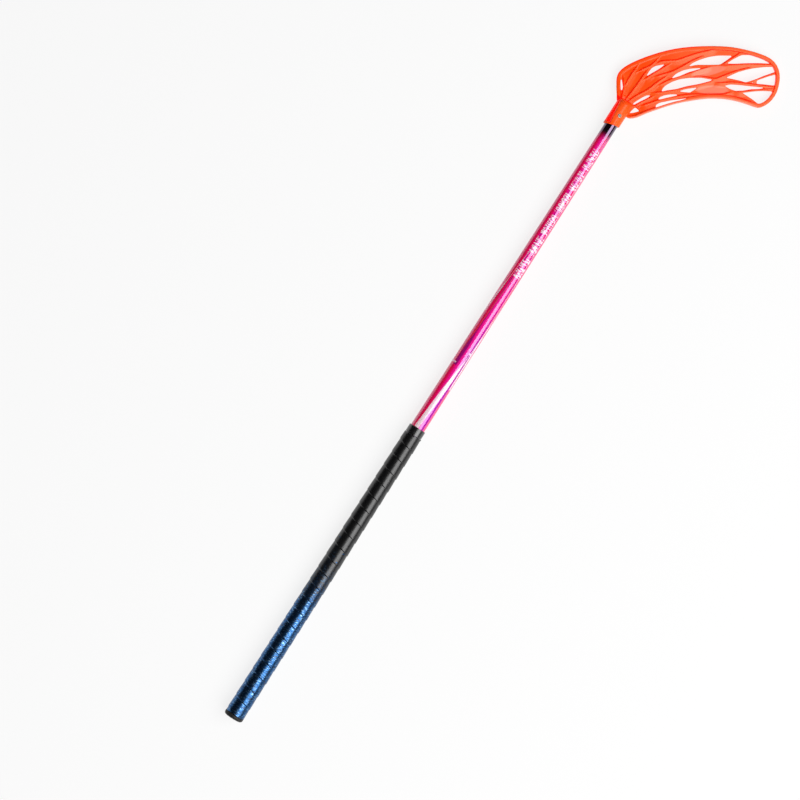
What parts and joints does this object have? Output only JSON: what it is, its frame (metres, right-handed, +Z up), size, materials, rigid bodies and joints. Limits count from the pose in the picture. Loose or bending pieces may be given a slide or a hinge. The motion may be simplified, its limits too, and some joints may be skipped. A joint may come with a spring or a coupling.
{
  "type": "floor hockey stick",
  "caption": "Floor hockey stick: straight tapered shaft with a wound hand grip, and a curved openwork plastic blade on a socket neck.",
  "frame": {"origin": "centre of the bottom of the stick's box as it lies on a floor on its butt, its neck and its toe", "axes": "+X along the shaft from the butt to the blade, +Z up out of the back of the blade; the blade reaches towards -Y"},
  "size_m": [1.2164, 0.208, 0.0301],
  "materials": {
    "orange_plastic": "semi-gloss moulded plastic",
    "pink_lacquer": "gloss lacquer over a composite tube",
    "black_grip": "satin cushioned grip strip",
    "black_band": "gloss tape",
    "black_rubber": "matt",
    "bright_steel": "bright zinc-plated steel"
  },
  "bodies": {
    "root": {"blade": "orange_plastic", "shaft_tube": "pink_lacquer", "grip_wrap": "black_grip", "finishing_band": "black_band", "butt_cap": "black_rubber", "blade_screw": "bright_steel"}
  },
  "joints": []
}
